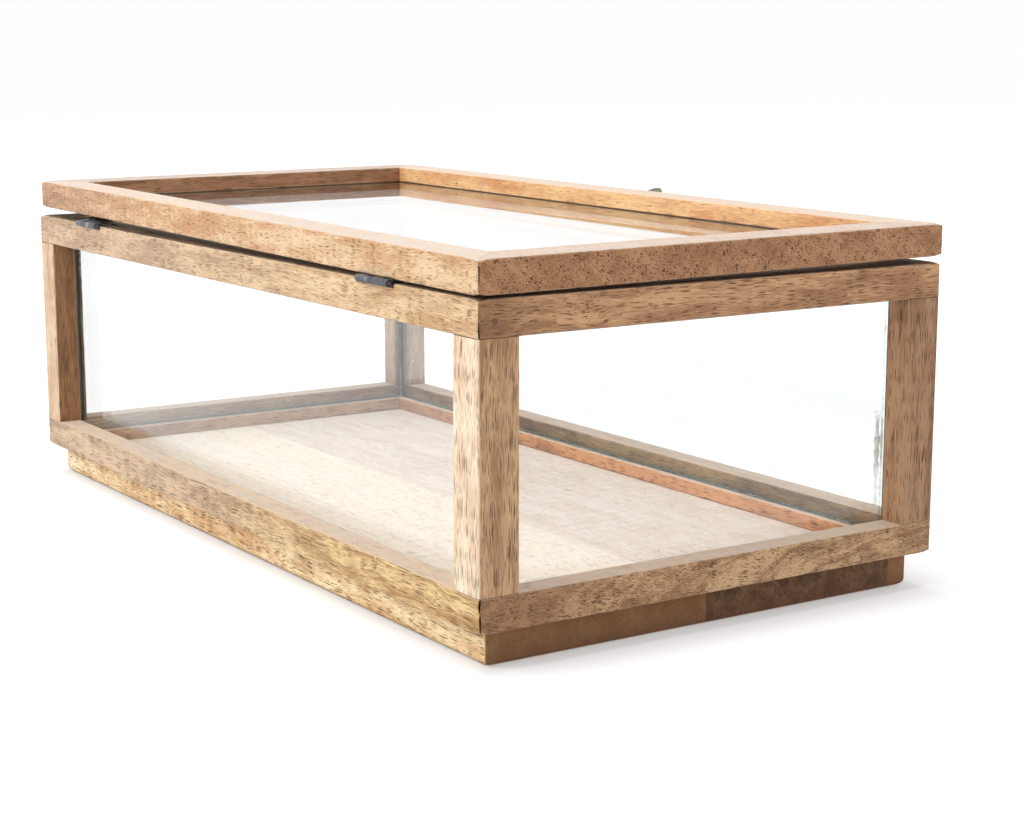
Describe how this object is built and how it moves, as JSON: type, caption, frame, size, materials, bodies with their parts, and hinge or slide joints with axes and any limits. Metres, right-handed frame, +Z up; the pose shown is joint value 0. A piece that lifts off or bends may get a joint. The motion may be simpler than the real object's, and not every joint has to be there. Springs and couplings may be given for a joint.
{
  "type": "tabletop display case",
  "caption": "Low wooden tabletop display case with glass sides, a hinged glazed lid, butt hinges at the back and a small brass hasp at the front.",
  "frame": {"origin": "centre of the base's flat underside, on the surface that the case stands on", "axes": "+X along the case's long side, +Z up; the front with the hasp faces -Y and the hinges are on the +Y side"},
  "size_m": [0.457, 0.2633, 0.1639],
  "materials": {
    "frame_wood": "pale tan hardwood with short dark pores, wiped with a matt sealer",
    "post_wood": "the same hardwood with its grain running up the posts",
    "lid_wood": "the same hardwood, lightly sanded edges, matt",
    "base_wood": "glued staves, pale long grain on top and brown end grain at the ends, matt",
    "dowel_wood": "plain beech dowel",
    "clear_glass": "clear float glass with a faint green edge",
    "clear_silicone": "translucent clear silicone, slightly uneven",
    "hinge_steel": "dark blued steel, satin",
    "screw_steel": "plain steel screws",
    "aged_brass": "antiqued brass with a dull green-brown patina"
  },
  "bodies": {
    "case": {"base_screw_back_left": "screw_steel", "base_screw_back_right": "screw_steel", "base_screw_front_left": "screw_steel", "base_screw_front_right": "screw_steel", "base_stave_back": "base_wood", "base_stave_front": "base_wood", "base_stave_middle": "base_wood", "case_silicone": "clear_silicone", "hinge_left_case_leaf": "hinge_steel", "hinge_left_case_screw_left": "screw_steel", "hinge_left_case_screw_right": "screw_steel", "hinge_left_pin": "hinge_steel", "hinge_right_case_leaf": "hinge_steel", "hinge_right_case_screw_left": "screw_steel", "hinge_right_case_screw_right": "screw_steel", "hinge_right_pin": "hinge_steel", "lower_dowel_back_left": "dowel_wood", "lower_dowel_back_right": "dowel_wood", "lower_dowel_front_left": "dowel_wood", "lower_dowel_front_right": "dowel_wood", "lower_rail_back": "frame_wood", "lower_rail_front": "frame_wood", "lower_rail_left": "frame_wood", "lower_rail_right": "frame_wood", "pane_back": "clear_glass", "pane_front": "clear_glass", "pane_left": "clear_glass", "pane_right": "clear_glass", "post_back_left": "post_wood", "post_back_right": "post_wood", "post_front_left": "post_wood", "post_front_right": "post_wood", "staple": "aged_brass", "upper_dowel_back_left": "dowel_wood", "upper_dowel_back_right": "dowel_wood", "upper_dowel_front_left": "dowel_wood", "upper_dowel_front_right": "dowel_wood", "upper_rail_back": "frame_wood", "upper_rail_front": "frame_wood", "upper_rail_left": "frame_wood", "upper_rail_right": "frame_wood"},
    "lid": {"hasp_nail_left": "aged_brass", "hasp_nail_right": "aged_brass", "hasp_pin": "aged_brass", "hasp_plate": "aged_brass", "hinge_left_lid_leaf": "hinge_steel", "hinge_left_lid_screw_left": "screw_steel", "hinge_left_lid_screw_right": "screw_steel", "hinge_right_lid_leaf": "hinge_steel", "hinge_right_lid_screw_left": "screw_steel", "hinge_right_lid_screw_right": "screw_steel", "lid_glass": "clear_glass", "lid_rail_back": "lid_wood", "lid_rail_front": "lid_wood", "lid_rail_left": "lid_wood", "lid_rail_right": "lid_wood", "lid_silicone": "clear_silicone"},
    "hasp": {"hasp_strap": "aged_brass"}
  },
  "joints": [
    {"name": "lid_hinge", "type": "hinge", "parent": "case", "child": "lid", "pos_m": [0, 0.1214, 0.1456], "axis": [-1, 0, 0], "range_deg": [0, 180]},
    {"name": "hasp_hinge", "type": "hinge", "parent": "lid", "child": "hasp", "pos_m": [0, -0.1212, 0.153], "axis": [1, 0, 0], "range_deg": [-50, 122]}
  ]
}
